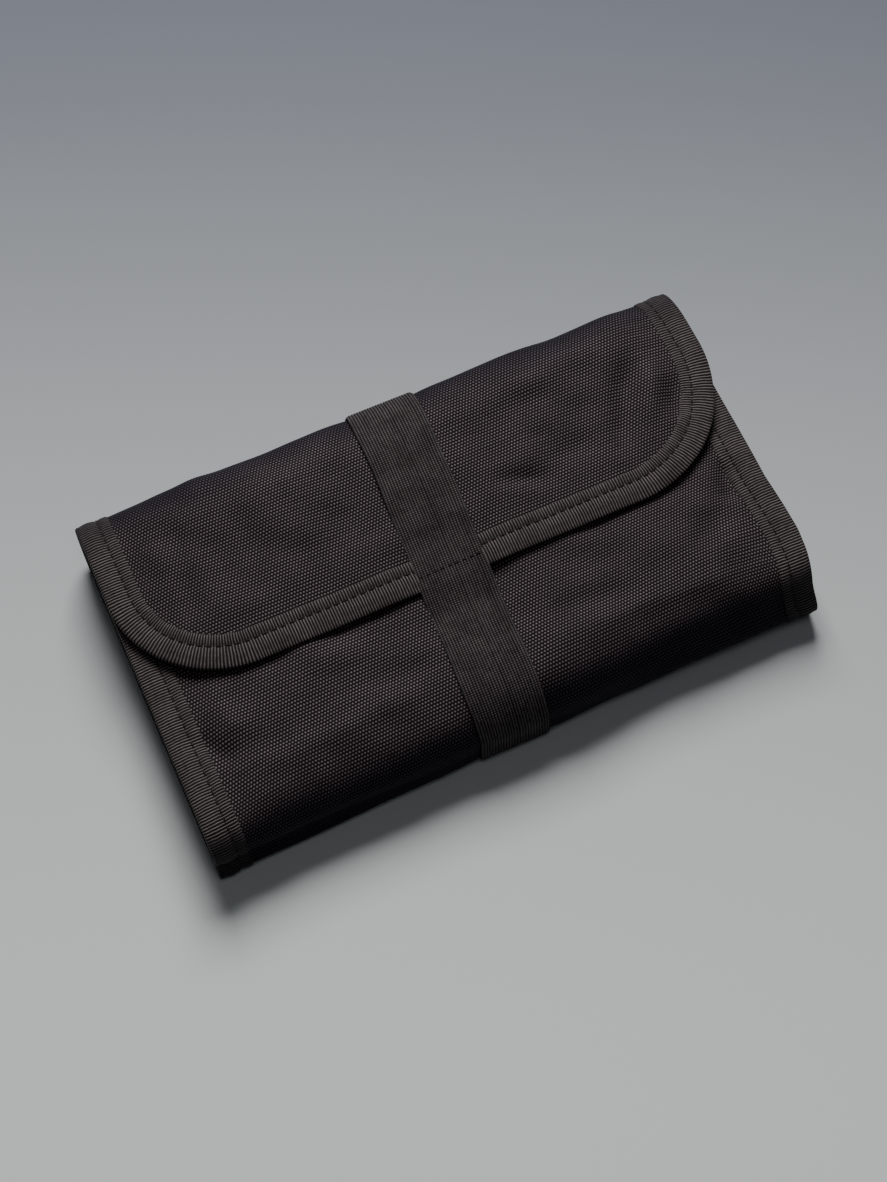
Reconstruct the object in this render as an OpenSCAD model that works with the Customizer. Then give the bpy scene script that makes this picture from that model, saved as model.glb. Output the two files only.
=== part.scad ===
// Brush roll case: a letter-folded padded fabric roll with a rounded flap and one elastic loop.
// Frame: millimetres, +X along the long side, +Y towards the far folded edge, +Z up.
// The origin is at the centre of the closed case, on the plane it rests on.

/* [Overall size] */
// Length of the closed case along the fold lines
case_length = 228; // [180:1:280]
// Depth of the closed case from the near fold to the far fold
case_depth = 128; // [124:1:150]
// Outer radius of the two folds at the bottom
bottom_fold_radius = 6; // [5.5:0.1:7]
// Outer radius of the far fold at the top, where the flap begins
far_top_radius = 12; // [8:0.5:13]
// Outer radius of the near fold at the top, where the front panel begins
near_top_radius = 10; // [8:0.5:11]

/* [Fabric layers] */
// Thickness of the woven outer fabric
shell_thickness = 0.9; // [0.6:0.1:1.2]
// Thickness of the foam between the fabrics
pad_thickness = 1.6; // [1.2:0.1:2.2]
// Thickness of the lining fabric
lining_thickness = 0.9; // [0.6:0.1:1.2]
// Thickness of the binding tape
tape_thickness = 0.6; // [0.4:0.1:0.8]
// Visible width of the binding tape on each face
tape_width = 12; // [10:0.5:14]

/* [Flap] */
// Distance of the flap's free edge from the middle of the case, towards the near side
flap_reach = 10.5; // [0:0.5:20]
// Corner radius of the flap
flap_corner_radius = 40; // [25:1:50]

/* [Front panel] */
// Distance of the front panel's free end from the middle of the case, towards the far side
front_reach = 49; // [49:0.5:50]

/* [Brush sleeves] */
// Number of brush sleeves inside the back panel
back_sleeve_count = 6; // [4:1:6]
// Number of brush sleeves inside the front panel
front_sleeve_count = 5; // [3:1:5]
// Spacing of the brush sleeves
sleeve_pitch = 16; // [15.8:0.1:16]
// Outer height of one sleeve over the lining
sleeve_height = 7.3; // [6.5:0.1:7.3]
// Thickness of the sleeve fabric
sleeve_thickness = 0.7; // [0.5:0.1:0.9]
// Length of the sleeves along the case
sleeve_length = 120; // [90:1:130]
// Length of the folded hem at the sleeve mouths
hem_length = 8; // [5:1:10]
// Thickness the hem adds around the sleeve
hem_thickness = 0.5; // [0.3:0.1:0.5]
// Width of the elastic strip that holds the brush heads
loop_strip_width = 12; // [8:1:16]
// Outer height of one elastic loop over the lining
loop_height = 6; // [5.5:0.1:6.4]
// Gap between the sleeves of the two inner faces in the closed case
inner_gap = 0.6; // [0.4:0.1:1.5]

/* [Elastic loop] */
// Width of the elastic loop
band_width = 25; // [18:1:30]
// Thickness of the elastic
band_thickness = 1.2; // [0.9:0.1:1.3]
// Sideways position of the elastic loop
band_position = -2; // [-10:0.5:10]
// Distance of the stitch row from the flap's free edge
band_stitch_inset = 5; // [3:0.5:8]

/* [Hidden] */
$fn = 64;
half_length = case_length / 2;
half_depth = case_depth / 2;
// Heights of the layers of one panel, counted from its outer face inwards
shell_at = tape_thickness;
pad_at = shell_at + shell_thickness;
lining_at = pad_at + pad_thickness;
panel_height = lining_at + lining_thickness;
edge_lining_at = pad_at;
edge_tape_at = edge_lining_at + lining_thickness;
edge_height = edge_tape_at + tape_thickness;
// The fabric is pressed in where the elastic crosses it
band_gap = 0.05;
groove_depth = band_thickness + 2 * band_gap - tape_thickness;
groove_slope = 1;
groove_half = band_width / 2 + 0.5;
// The padding stops short of the bound edges
pad_half_length = half_length - tape_width - 1;
step_outer = half_length - tape_width + 1;
step_inner = pad_half_length + 0.5;
edge_x = half_length - tape_thickness;
tape_inner_x = half_length - tape_width;
lower_tape_x = step_outer + 0.2;
// Heights of the stacked panels
sleeve_stack = sleeve_height + hem_thickness;
front_top = 2 * panel_height + 2 * sleeve_stack + inner_gap;
flap_gap = 0.3;
flap_top = front_top + flap_gap + panel_height;
band_top_at = flap_top + band_gap;
front_band_at = front_top - tape_thickness + 2 * band_gap;
// Ends of the flat parts of each panel
back_end = half_depth - bottom_fold_radius;
far_end = half_depth - far_top_radius;
near_end = half_depth - near_top_radius;
far_spine_top = flap_top - far_top_radius;
near_spine_top = front_top - near_top_radius;
// Sleeves start at the end without bindings' reach and open towards +X
sleeve_radius = sleeve_height;
sleeve_start = -half_length + tape_width + 8;
sleeve_mouth = sleeve_start + sleeve_length;
loop_strip_start = sleeve_mouth + 24;
back_sleeve_middle = 0;
front_sleeve_middle = (front_reach - tape_width - 1 - near_end) / 2;
loop_thickness = 0.8;
stitch_count = 9;
stitch_pitch = (band_width - 2) / stitch_count;
overlap = 0.01;

// ---- sections of one panel: x along the case, y counted from the outer face inwards ----

// A band of the given thickness whose outer face follows the path
module layer(path, thickness) {
  inner = [for (i = [len(path) - 1 : -1 : 0]) path[i] + [0, thickness]];
  polygon(concat(path, inner));
}

function groove_path(reach, at) = [
  [-reach, at],
  [band_position - groove_half - groove_slope, at],
  [band_position - groove_half, at + groove_depth],
  [band_position + groove_half, at + groove_depth],
  [band_position + groove_half + groove_slope, at],
  [reach, at]
];

module shell_section() {
  layer(groove_path(edge_x, shell_at), shell_thickness);
}

module pad_section() {
  polygon(concat(
    groove_path(pad_half_length, pad_at),
    [[pad_half_length, lining_at], [-pad_half_length, lining_at]]
  ));
}

module lining_section() {
  path = [
    [-edge_x, edge_lining_at], [-step_outer, edge_lining_at], [-step_inner, lining_at],
    [step_inner, lining_at], [step_outer, edge_lining_at], [edge_x, edge_lining_at]
  ];
  layer(path, lining_thickness);
}

// U-shaped tape over one edge; side is -1 for the left end and 1 for the right end
module tape_section(side) {
  polygon([
    [side * half_length, 0], [side * tape_inner_x, 0], [side * tape_inner_x, shell_at],
    [side * edge_x, shell_at], [side * edge_x, edge_tape_at], [side * lower_tape_x, edge_tape_at],
    [side * lower_tape_x, edge_height], [side * half_length, edge_height]
  ]);
}

// ---- placing a section ----

// Flat run of the section along Y, outer face down at z = 0
module run(y_from, y_to) {
  translate([0, y_to, 0]) rotate([90, 0, 0]) linear_extrude(y_to - y_from) children();
}

// Quarter fold of the section about the X axis, from facing down to facing +Y
module quarter(radius) {
  rotate([0, 90, 0]) rotate_extrude(angle = 90)
    translate([radius, 0]) rotate([0, 0, 90]) children();
}

module far_spine_run() {
  translate([0, half_depth, 0]) rotate([90, 0, 0]) run(bottom_fold_radius, far_spine_top) children();
}

module near_spine_run() {
  translate([0, -half_depth, 0]) rotate([-90, 0, 0])
    run(-near_spine_top, -bottom_fold_radius) children();
}

// The far side's two folds and the wall between them in one strip
module far_spine_strip() {
  far_spine_run() children();
  translate([0, back_end, bottom_fold_radius]) quarter(bottom_fold_radius) children();
  translate([0, far_end, far_spine_top]) rotate([90, 0, 0]) quarter(far_top_radius) children();
}

// The near side's two folds and the wall between them in one strip
module near_spine_strip() {
  near_spine_run() children();
  translate([0, -back_end, bottom_fold_radius]) rotate([-90, 0, 0]) quarter(bottom_fold_radius) children();
  translate([0, -near_end, near_spine_top]) rotate([180, 0, 0]) quarter(near_top_radius) children();
}

// ---- brush sleeves, drawn on a lining whose inner face is at z = 0 ----

module lanes(middle, count) {
  for (i = [0 : count - 1])
    translate([0, middle + (i - (count - 1) / 2) * sleeve_pitch, 0]) children();
}

// Half tube along +X from x = 0, standing on z = 0
module half_tube(length, outer, inner) {
  rotate([90, 0, 90]) linear_extrude(length) difference() {
    circle(outer);
    circle(inner);
    translate([-2 * outer, -2 * outer]) square([4 * outer, 2 * outer]);
  }
}

// Rounded closed end of one sleeve
module closed_end(outer, inner) {
  difference() {
    sphere(outer);
    sphere(inner);
    translate([-2 * outer, -2 * outer, -2 * outer]) cube([4 * outer, 4 * outer, 2 * outer]);
    translate([0, -2 * outer, -outer]) cube([2 * outer, 4 * outer, 3 * outer]);
  }
}

// Sewn-down strips between the lanes and outside them
module strip_flats(length, outer, thickness, middle, count) {
  width = sleeve_pitch - 2 * outer + thickness;
  for (i = [0 : count])
    translate([0, middle + (i - count / 2) * sleeve_pitch - width / 2, 0])
      cube([length, width, thickness]);
}

module sleeve_strip(middle, count) {
  inner = sleeve_radius - sleeve_thickness;
  translate([sleeve_start, 0, 0]) {
    lanes(middle, count) {
      half_tube(sleeve_length, sleeve_radius, inner);
      closed_end(sleeve_radius, inner);
    }
    difference() {
      strip_flats(sleeve_length, sleeve_radius, sleeve_thickness, middle, count);
      // The strips stop at the inside of each lane
      lanes(middle, count) translate([-overlap, 0, 0]) rotate([90, 0, 90])
        linear_extrude(sleeve_length + 2 * overlap) circle(inner);
    }
  }
}

module sleeve_hem(middle, count) {
  hem_outer = sleeve_radius + hem_thickness;
  translate([sleeve_mouth - hem_length, 0, 0]) difference() {
    union() {
      lanes(middle, count) half_tube(hem_length, hem_outer, sleeve_radius);
      translate([0, 0, sleeve_thickness])
        strip_flats(hem_length, sleeve_radius, hem_thickness, middle, count);
    }
    lanes(middle, count) translate([-1, 0, 0]) rotate([90, 0, 90])
      linear_extrude(hem_length + 2) circle(sleeve_radius);
    translate([-1, 0, 0]) strip_flats(hem_length + 2, sleeve_radius, sleeve_thickness, middle, count);
  }
}

module elastic_loops(middle, count) {
  inner = loop_height - loop_thickness;
  translate([loop_strip_start, 0, 0]) {
    lanes(middle, count) half_tube(loop_strip_width, loop_height, inner);
    difference() {
      strip_flats(loop_strip_width, loop_height, loop_thickness, middle, count);
      lanes(middle, count) translate([-1, 0, 0]) rotate([90, 0, 90])
        linear_extrude(loop_strip_width + 2) circle(inner);
    }
  }
}

// ---- outlines of the two end panels, drawn in plan ----

module flap_outline(inset, far) {
  corner_x = half_length - flap_corner_radius;
  corner_y = flap_corner_radius - flap_reach;
  reach = half_length - inset;
  translate([-reach, corner_y]) square([2 * reach, far - corner_y]);
  translate([-corner_x, inset - flap_reach]) square([2 * corner_x, flap_corner_radius - inset]);
  intersection() {
    for (side = [-1, 1])
      translate([side * corner_x, corner_y]) circle(flap_corner_radius - inset);
    translate([-half_length, -case_depth]) square([case_length, case_depth + corner_y]);
  }
}

module front_outline(inset, near) {
  reach = half_length - inset;
  translate([-reach, near]) square([2 * reach, front_reach - inset - near]);
}

// A slab of the outline between two depths, counted downwards from the panel's outer face at z = top
module slab(top, from, to) {
  translate([0, 0, top - to]) linear_extrude(to - from) children();
}

// ---- back panel ----

module back_shell() {
  color("#2b282d") run(-back_end, back_end) shell_section();
}

module back_pad() {
  color("#8f8f8f") run(-back_end, back_end) pad_section();
}

module back_lining() {
  color("#3a383c") run(-back_end, back_end) lining_section();
}

module back_sleeve_strip() {
  color("#37353a") translate([0, 0, panel_height]) sleeve_strip(back_sleeve_middle, back_sleeve_count);
}

module back_sleeve_hem() {
  color("#4a464b") translate([0, 0, panel_height]) sleeve_hem(back_sleeve_middle, back_sleeve_count);
}

module back_elastic_loops() {
  color("#29282a") translate([0, 0, panel_height]) elastic_loops(back_sleeve_middle, back_sleeve_count);
}

module back_binding_left() {
  color("#454145") run(-back_end, back_end) tape_section(-1);
}

module back_binding_right() {
  color("#454145") run(-back_end, back_end) tape_section(1);
}

// ---- far spine ----

module far_spine_shell() {
  color("#2b282d") far_spine_strip() shell_section();
}

module far_spine_pad() {
  color("#8f8f8f") far_spine_run() pad_section();
}

module far_spine_lining() {
  color("#3a383c") far_spine_strip() lining_section();
}

module far_spine_binding_left() {
  color("#454145") far_spine_strip() tape_section(-1);
}

module far_spine_binding_right() {
  color("#454145") far_spine_strip() tape_section(1);
}

// ---- flap ----

module flap_shell() {
  color("#2b282d") slab(flap_top, shell_at, pad_at) flap_outline(tape_thickness, far_end);
}

module flap_pad() {
  pad_far = far_end - 1;
  color("#8f8f8f") slab(flap_top, pad_at, lining_at) flap_outline(tape_width + 1, pad_far);
}

// The lining dips around the pad and meets the outer fabric along the bound edge
module flap_lining() {
  recess = tape_width + 1;
  color("#3a383c") {
    slab(flap_top, lining_at, panel_height) flap_outline(recess - lining_thickness, far_end);
    slab(flap_top, edge_lining_at, lining_at + overlap) difference() {
      flap_outline(recess - lining_thickness, far_end);
      flap_outline(recess, far_end + 1);
    }
    slab(flap_top, edge_lining_at, edge_tape_at) difference() {
      flap_outline(tape_thickness, far_end);
      flap_outline(recess - overlap, far_end + 1);
    }
  }
}

module flap_binding() {
  color("#454145") {
    slab(flap_top, 0, shell_at) difference() {
      flap_outline(0, far_end);
      flap_outline(tape_width, far_end + 1);
    }
    slab(flap_top, 0, edge_height) difference() {
      flap_outline(0, far_end);
      flap_outline(tape_thickness, far_end + 1);
    }
    slab(flap_top, edge_tape_at, edge_height) difference() {
      flap_outline(0, far_end);
      flap_outline(tape_width - 0.2, far_end + 1);
    }
  }
}

// ---- elastic loop ----

module band_quarter(radius) {
  rotate([0, 90, 0]) rotate_extrude(angle = 90)
    translate([radius - band_thickness, -band_width / 2]) square([band_thickness, band_width]);
}

module band_run(points) {
  translate([-band_width / 2, 0, 0]) rotate([90, 0, 90]) linear_extrude(band_width)
    layer(points, band_thickness);
}

module elastic_band() {
  side_face = half_depth - band_gap;
  bottom_center = bottom_fold_radius;
  bottom_radius = bottom_fold_radius - band_gap;
  far_center = flap_top + band_gap + band_thickness - (far_top_radius - band_gap);
  near_center = front_band_at + band_thickness - (near_top_radius - band_gap);
  edge_y = -flap_reach - 0.2;
  landing_y = edge_y - 8;
  color("#242325") translate([band_position, 0, 0]) {
    // Under the back panel and round the two bottom folds
    band_run([[-back_end, band_gap], [back_end, band_gap]]);
    translate([0, back_end, bottom_center]) band_quarter(bottom_radius);
    translate([0, -back_end, bottom_center]) rotate([-90, 0, 0]) band_quarter(bottom_radius);
    // Up the two sides
    translate([-band_width / 2, side_face - band_thickness, bottom_center])
      cube([band_width, band_thickness, far_center - bottom_center]);
    translate([-band_width / 2, -side_face, bottom_center])
      cube([band_width, band_thickness, near_center - bottom_center]);
    // Over the two top folds
    translate([0, far_end, far_center]) rotate([90, 0, 0]) band_quarter(far_top_radius - band_gap);
    translate([0, -near_end, near_center]) rotate([180, 0, 0]) band_quarter(near_top_radius - band_gap);
    // Across the flap, down over its edge and across the front panel
    band_run([[-near_end, front_band_at], [landing_y, front_band_at], [edge_y, band_top_at], [far_end, band_top_at]]);
  }
}

// Row of stitches that holds the elastic on the flap's edge
module band_stitching() {
  thread_width = 0.5;
  thread_height = 0.2;
  color("#171618")
    translate([band_position - band_width / 2 + 1, band_stitch_inset - flap_reach, band_top_at + band_thickness]) {
      cube([band_width - 2, thread_width, thread_height]);
      for (i = [0 : stitch_count - 1])
        translate([i * stitch_pitch, 0, 0]) cube([stitch_pitch * 0.7, thread_width, 2 * thread_height]);
    }
}

// ---- near spine ----

module near_spine_shell() {
  color("#2b282d") near_spine_strip() shell_section();
}

module near_spine_pad() {
  color("#8f8f8f") near_spine_run() pad_section();
}

module near_spine_lining() {
  color("#3a383c") near_spine_strip() lining_section();
}

module near_spine_binding_left() {
  color("#454145") near_spine_strip() tape_section(-1);
}

module near_spine_binding_right() {
  color("#454145") near_spine_strip() tape_section(1);
}

// ---- front panel ----

module front_shell() {
  color("#2b282d") slab(front_top, shell_at, pad_at) front_outline(tape_thickness, -near_end);
}

module front_pad() {
  color("#8f8f8f") slab(front_top, pad_at, lining_at) front_outline(tape_width + 1, -near_end + 1);
}

module front_lining() {
  recess = tape_width + 1;
  color("#3a383c") {
    slab(front_top, lining_at, panel_height) front_outline(recess - lining_thickness, -near_end);
    slab(front_top, edge_lining_at, lining_at + overlap) difference() {
      front_outline(recess - lining_thickness, -near_end);
      front_outline(recess, -near_end - 1);
    }
    slab(front_top, edge_lining_at, edge_tape_at) difference() {
      front_outline(tape_thickness, -near_end);
      front_outline(recess - overlap, -near_end - 1);
    }
  }
}

module front_sleeve_strip() {
  color("#37353a") translate([0, 0, front_top - panel_height]) rotate([180, 0, 0])
    sleeve_strip(-front_sleeve_middle, front_sleeve_count);
}

module front_sleeve_hem() {
  color("#4a464b") translate([0, 0, front_top - panel_height]) rotate([180, 0, 0])
    sleeve_hem(-front_sleeve_middle, front_sleeve_count);
}

module front_elastic_loops() {
  color("#29282a") translate([0, 0, front_top - panel_height]) rotate([180, 0, 0])
    elastic_loops(-front_sleeve_middle, front_sleeve_count);
}

module front_binding() {
  color("#454145") {
    slab(front_top, 0, shell_at) difference() {
      front_outline(0, -near_end);
      front_outline(tape_width, -near_end - 1);
    }
    slab(front_top, 0, edge_height) difference() {
      front_outline(0, -near_end);
      front_outline(tape_thickness, -near_end - 1);
    }
    slab(front_top, edge_tape_at, edge_height) difference() {
      front_outline(0, -near_end);
      front_outline(tape_width - 0.2, -near_end - 1);
    }
  }
}

back_shell();
back_pad();
back_lining();
back_sleeve_strip();
back_sleeve_hem();
back_elastic_loops();
back_binding_left();
back_binding_right();
far_spine_shell();
far_spine_pad();
far_spine_lining();
far_spine_binding_left();
far_spine_binding_right();
flap_shell();
flap_pad();
flap_lining();
flap_binding();
elastic_band();
band_stitching();
near_spine_shell();
near_spine_pad();
near_spine_lining();
near_spine_binding_left();
near_spine_binding_right();
front_shell();
front_pad();
front_lining();
front_sleeve_strip();
front_sleeve_hem();
front_elastic_loops();
front_binding();
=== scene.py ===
import math

import bpy
import numpy as np
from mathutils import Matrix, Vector


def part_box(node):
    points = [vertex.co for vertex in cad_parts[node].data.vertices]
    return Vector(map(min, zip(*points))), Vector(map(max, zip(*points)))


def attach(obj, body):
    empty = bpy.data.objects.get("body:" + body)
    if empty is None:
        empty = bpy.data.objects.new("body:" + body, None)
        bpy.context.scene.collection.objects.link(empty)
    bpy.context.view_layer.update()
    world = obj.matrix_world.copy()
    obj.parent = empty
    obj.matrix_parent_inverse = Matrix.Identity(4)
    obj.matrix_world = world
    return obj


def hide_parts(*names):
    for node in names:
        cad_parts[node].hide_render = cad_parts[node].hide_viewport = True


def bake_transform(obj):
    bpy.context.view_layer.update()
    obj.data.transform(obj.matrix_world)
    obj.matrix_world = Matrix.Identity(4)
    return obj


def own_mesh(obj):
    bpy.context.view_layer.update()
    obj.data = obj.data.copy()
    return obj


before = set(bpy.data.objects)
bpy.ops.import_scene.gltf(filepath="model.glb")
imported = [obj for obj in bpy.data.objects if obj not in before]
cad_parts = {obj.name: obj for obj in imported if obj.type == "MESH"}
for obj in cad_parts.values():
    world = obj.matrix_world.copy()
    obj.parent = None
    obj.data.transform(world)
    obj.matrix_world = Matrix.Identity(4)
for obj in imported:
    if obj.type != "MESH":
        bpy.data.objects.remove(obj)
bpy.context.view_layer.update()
scene = bpy.context.scene

# ---------------------------------------------------------------- camera
YAW, ELEVATION, DISTANCE = 24.2, 66.0, 0.798
cam_data = bpy.data.cameras.new("camera")
camera = bpy.data.objects.new("camera", cam_data)
scene.collection.objects.link(camera)
yaw, el = math.radians(YAW), math.radians(ELEVATION)
back_dir = Vector((-math.sin(yaw) * math.cos(el), -math.cos(yaw) * math.cos(el), math.sin(el)))
camera.location = back_dir * DISTANCE
camera.rotation_mode = "QUATERNION"
camera.rotation_quaternion = (-back_dir).to_track_quat("-Z", "Y")
cam_data.sensor_width = 36.0
cam_data.lens = 69.0
cam_data.shift_x = -0.0055
cam_data.shift_y = -0.0068
cam_data.clip_start, cam_data.clip_end = 0.01, 20.0
scene.camera = camera

# ---------------------------------------------------------------- sizes from the CAD frame, in millimetres
def mm(node):
    low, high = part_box(node)
    return np.array(low) * 1000.0, np.array(high) * 1000.0


flap_low, flap_high = mm("flap_binding")
front_low, front_high = mm("front_binding")
HALF = flap_high[0]
FAR = mm("far_spine_binding_left")[1][1]
NEAR = mm("near_spine_binding_left")[0][1]
FLAP_TOP, FRONT_TOP = flap_high[2], front_high[2]
FLAP_EDGE, FRONT_END = flap_low[1], front_high[1]
BAND_LOW, BAND_HIGH = mm("elastic_band")
BAND_WIDTH = BAND_HIGH[0] - BAND_LOW[0]
CORDS = 25             # ribs across the elastic
TAPE = 12.0            # width of the binding on each face
UNDER_TAPE = 2.0       # how far inside the case's edge the fabric ends, under the tape
SEAM_IN = 8.0          # distance of the stitch line from the bound edge
PATH_STEP = 0.7        # spacing of the points along a bound edge
FLAP_RADIUS = (40.0, 46.0)     # left and right corner
FRONT_RADIUS = (13.0, 13.0)
FAR_TAPER = 0.006
TAPER = 0.035          # the near side runs slightly askew to the far side


def smooth(t):
    t = np.clip(t, 0.0, 1.0)
    return t * t * (3 - 2 * t)


# ---------------------------------------------------------------- the folded panels as surfaces over (x, s)
NX, NS = 229, 150
XS = np.linspace(-HALF, HALF, NX)


def end_drop(x):
    """How much lower the case is towards its bound ends."""
    return smooth((np.abs(x) - 78.0) / 36.0)


def curve(control, count):
    """Smooth open curve through control, (k, nx, 2), as (count, nx, 2), evenly spaced in its middle column."""
    p = np.concatenate([[2 * control[0] - control[1]], control, [2 * control[-1] - control[-2]]])
    k, fine = len(control), 24
    rows = []
    for i in range(k - 1):
        a, b, c, d = p[i], p[i + 1], p[i + 2], p[i + 3]
        for u in np.arange(fine) / fine:
            rows.append(0.5 * (2 * b + (c - a) * u + (2 * a - 5 * b + 4 * c - d) * u ** 2
                               + (3 * b - a - 3 * c + d) * u ** 3))
    rows.append(p[-2])
    rows = np.array(rows)
    kernel = np.array([1, 4, 6, 4, 1], float) / 16
    for _ in range(14):
        pad = np.concatenate([2 * rows[:1] - rows[2:3], 2 * rows[:1] - rows[1:2], rows,
                              2 * rows[-1:] - rows[-2:-1], 2 * rows[-1:] - rows[-3:-2]])
        rows = sum(w * pad[j:j + len(rows)] for j, w in enumerate(kernel))
    middle = rows[:, rows.shape[1] // 2]
    along = np.concatenate([[0], np.cumsum(np.linalg.norm(np.diff(middle, axis=0), axis=1))])
    at = np.linspace(0, along[-1], count)
    index = np.interp(at, along, np.arange(len(along)))
    low = np.minimum(index.astype(int), len(rows) - 2)
    share = (index - low)[:, None, None]
    return rows[low] * (1 - share) + rows[low + 1] * share, at


class Surface:
    """A panel's outer face: points and outward normals over x (columns) and s (distance along the strip)."""

    def __init__(self, control, outward, inset_y=(-60.0, -50.0), inset_x=(3.2, 0.0), taper=TAPER):
        table = np.array([np.stack([np.broadcast_to(y, NX), np.broadcast_to(z, NX)], axis=1)
                          for y, z in control], float)
        yz, self.s = curve(table, NS)
        self.length = self.s[-1]
        p = np.empty((NX, NS, 3))
        p[:, :, 0] = XS[:, None]
        p[:, :, 1] = yz[:, :, 0].T
        p[:, :, 2] = yz[:, :, 1].T
        # the front is drawn in a little at its right end, and the flap stands out above it
        y, z = p[:, :, 1], p[:, :, 2]
        above_floor = np.maximum(smooth((z - 3.0) / 8.0), smooth((-y - 48.0) / 10.0))
        inset = np.interp(y, inset_y, inset_x) * above_floor
        p[:, :, 0] -= inset * smooth((p[:, :, 0] - 40.0) / 70.0)
        # the near side runs slightly askew, along its foot and in the front panel but not up its wall
        skew = taper * (1.0 - 0.95 * np.exp(-((z - 9.0) / 4.5) ** 2))
        p[:, :, 1] += skew * p[:, :, 0] * smooth((20.0 - y) / 60.0)
        p[:, :, 1] += FAR_TAPER * p[:, :, 0] * smooth((y - 20.0) / 40.0)
        self.p, self.outward = p, outward
        self.renew()

    def renew(self):
        du = np.gradient(self.p, axis=0)
        dv = np.gradient(self.p, axis=1)
        n = np.cross(du, dv) * self.outward
        self.n = n / np.linalg.norm(n, axis=2, keepdims=True)

    def push(self, height):
        """Moves the face outwards by height(x, s, y, z)."""
        x, s = np.meshgrid(XS, self.s, indexing="ij")
        self.p = self.p + self.n * height(x, s, self.p[:, :, 1], self.p[:, :, 2])[:, :, None]
        self.renew()

    def at(self, x, s, off=0.0):
        x, s = np.broadcast_arrays(np.asarray(x, float), np.asarray(s, float))
        i = np.clip((x - XS[0]) / (XS[1] - XS[0]), 0, NX - 1.001)
        j = np.clip(s / self.length * (NS - 1), 0, NS - 1.001)
        a, b = i.astype(int), j.astype(int)
        u, v = (i - a)[..., None], (j - b)[..., None]

        def mix(t):
            return ((t[a, b] * (1 - v) + t[a, b + 1] * v) * (1 - u)
                    + (t[a + 1, b] * (1 - v) + t[a + 1, b + 1] * v) * u)

        n = mix(self.n)
        n = n / np.linalg.norm(n, axis=-1, keepdims=True)
        p = mix(self.p) + n * np.broadcast_to(np.asarray(off, float), x.shape)[..., None]
        beyond = x - np.clip(x, XS[0], XS[-1])
        p[..., 0] += beyond
        return p


drop = end_drop(XS)
BASE = 0.92            # the outer fabric's height over the floor, with the tape and the elastic under it
flap = Surface([
    (FAR + 0.2, 11.0 + 0 * drop),
    (FAR + 0.7, 17.0 - 0.8 * drop),
    (FAR - 0.8, 22.6 - 1.6 * drop),
    (FAR - 6.4, 27.0 - 2.2 * drop),
    (FAR - 14.6, 28.8 - 2.4 * drop),
    (FAR - 28.0, 28.9 - 2.3 * drop),
    (FAR - 48.0, 28.3 - 2.0 * drop),
    (FLAP_EDGE + 12.0, 28.0 - 2.0 * drop),
    (FLAP_EDGE, 26.9 - 1.8 * drop),
], outward=-1, inset_y=(20.0, 38.0, 52.0, 66.0), inset_x=(0.3, -0.8, -0.6, 0.0), taper=0.012)
back_far = Surface([
    (0.0, BASE), (20.0, BASE), (40.0, BASE), (FAR - 13.0, BASE), (FAR - 6.0, 1.8), (FAR - 1.6, 5.6),
    (FAR + 0.2, 11.0),
], outward=-1)
back_near = Surface([
    (0.0, BASE), (-20.0, BASE), (-40.0, BASE), (NEAR + 9.0, BASE), (NEAR + 2.6, 1.5),
    (NEAR - 0.8, 3.8), (NEAR - 0.4, 9.5 - 0.6 * drop),
], outward=1)
front = Surface([
    (NEAR - 0.4, 9.5 - 0.6 * drop),
    (NEAR + 1.0 - 0.4 * drop, 14.6 - 0.4 * drop),
    (NEAR + 5.2 - 1.2 * drop, 19.9 + 0.1 * drop),
    (NEAR + 11.5 - 2.4 * drop, 23.4 - 0.2 * drop),
    (NEAR + 21.0 - 2.4 * drop, 25.0 - 1.2 * drop),
    (NEAR + 38.0, 25.0 - 1.7 * drop),
    (FLAP_EDGE + 8.0, 24.3 - 1.6 * drop),
    (12.0, 23.6 - 1.4 * drop),
    (30.0, 23.3 - 1.3 * drop),
    (FRONT_END, 23.0 - 1.2 * drop),
], outward=1, inset_y=(-62.0, -52.0, -44.0, -34.0, -20.0, 4.0), inset_x=(3.2, 1.4, 0.5, 0.6, 1.3, 0.9))


def waves(seed, longest, shortest, count=16):
    """Smooth pattern over two coordinates in millimetres, about -1 to 1."""
    r = np.random.default_rng(seed)
    terms = [(r.uniform(0, 2 * math.pi), r.uniform(shortest, longest), r.uniform(0, 2 * math.pi))
             for _ in range(count)]

    def value(x, y):
        total = 0.0
        for angle, size, phase in terms:
            total = total + np.sin(2 * math.pi * (x * math.cos(angle) + y * math.sin(angle)) / size + phase)
        return total / math.sqrt(count)

    return value


def crease(x, y, x0, y0, x1, y1, width, depth):
    """A soft fold from (x0, y0) to (x1, y1): negative is a dent."""
    dx, dy = x1 - x0, y1 - y0
    long = math.hypot(dx, dy)
    along = ((x - x0) * dx + (y - y0) * dy) / long
    across = ((x - x0) * dy - (y - y0) * dx) / long
    ends = smooth(along / (0.35 * long)) * smooth((long - along) / (0.35 * long))
    return depth * ends * np.exp(-(across / width) ** 2)


def free_of_binding(x):
    return smooth((HALF - TAPE - np.abs(x)) / 12.0)


band_centre = (BAND_LOW[0] + BAND_HIGH[0]) / 2


def band_x(y):
    """The elastic lies slightly askew across the case."""
    return band_centre + 1.9 * np.clip(y / 60.0, -1.1, 1.1) + 0.9 * np.sin(np.clip(y / 60.0, -1, 1) * 1.5)


def band_press(x, y):
    """The case bulges a little beside the elastic and is held down under it."""
    d = np.abs(x - band_x(y)) / (BAND_WIDTH / 2)
    return -0.55 * np.exp(-np.clip(d - 0.7, 0, None) ** 2 * 6) + 0.22 * np.exp(-((d - 1.9) / 0.7) ** 2)


flap_waves, front_waves, fine_waves = waves(3, 64, 30), waves(11, 70, 32), waves(21, 24, 13, 22)


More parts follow.
